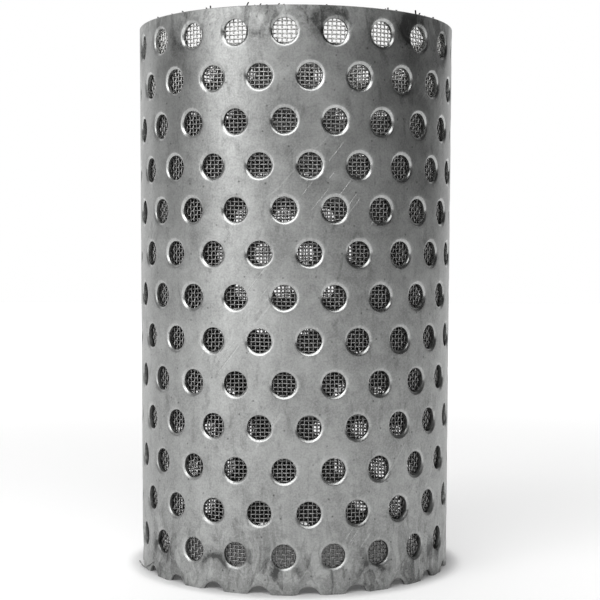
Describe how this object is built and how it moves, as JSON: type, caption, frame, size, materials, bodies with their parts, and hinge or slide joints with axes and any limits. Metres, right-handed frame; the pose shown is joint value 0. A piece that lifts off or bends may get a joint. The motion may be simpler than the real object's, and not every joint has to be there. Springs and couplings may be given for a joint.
{
  "type": "strainer screen",
  "caption": "Cylindrical strainer screen: a perforated sheet rolled into a tube that is open at both ends, lined with woven wire cloth and spot welded at the rims.",
  "frame": {"origin": "on the tube's axis, in the plane of its lower rim", "axes": "+Z along the tube's axis, from the rim that cuts a row of holes to the rim with the plain margin; the side seen first faces -Y"},
  "size_m": [0.0646, 0.0646, 0.1111],
  "materials": {
    "rolled_sheet": "satin rolled stainless sheet with heat tint at the spot welds",
    "wire_cloth": "bright drawn stainless wire, plain weave"
  },
  "bodies": {
    "root": {"perforated_tube": "rolled_sheet", "mesh_sleeve": "wire_cloth"}
  },
  "joints": []
}
